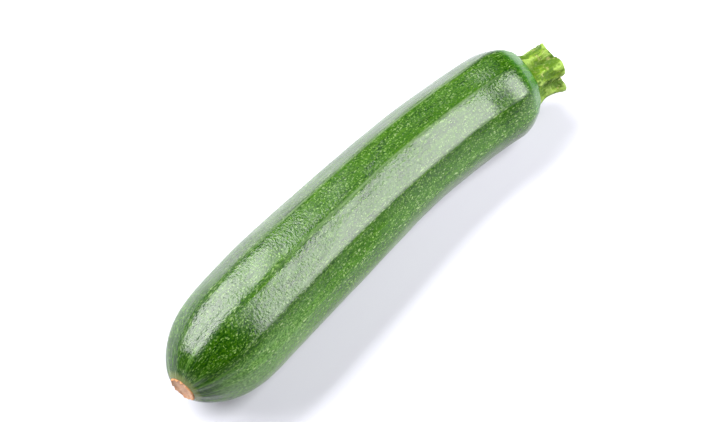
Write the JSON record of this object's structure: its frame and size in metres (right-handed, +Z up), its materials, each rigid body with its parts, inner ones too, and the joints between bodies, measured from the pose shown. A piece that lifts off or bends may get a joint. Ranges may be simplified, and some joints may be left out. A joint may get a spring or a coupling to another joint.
{
  "type": "zucchini",
  "caption": "Whole dark green zucchini with a slight bow, soft lengthwise facets, a blossom scar and a lobed cut stem, lying down.",
  "frame": {"origin": "in the plane that the fruit lies on, under the middle of its box", "axes": "+X along the fruit towards the stem, +Y to the outer side of the bow, +Z up"},
  "size_m": [0.2078, 0.045, 0.042],
  "materials": {
    "skin": "waxy dark green skin with fine pale flecks, and a dull tan scar at the blossom end",
    "stalk": "dull lime green stalk with pale ridges and a cream fibrous cut face"
  },
  "bodies": {
    "root": {"fruit": "skin", "stem": "stalk"}
  },
  "joints": []
}
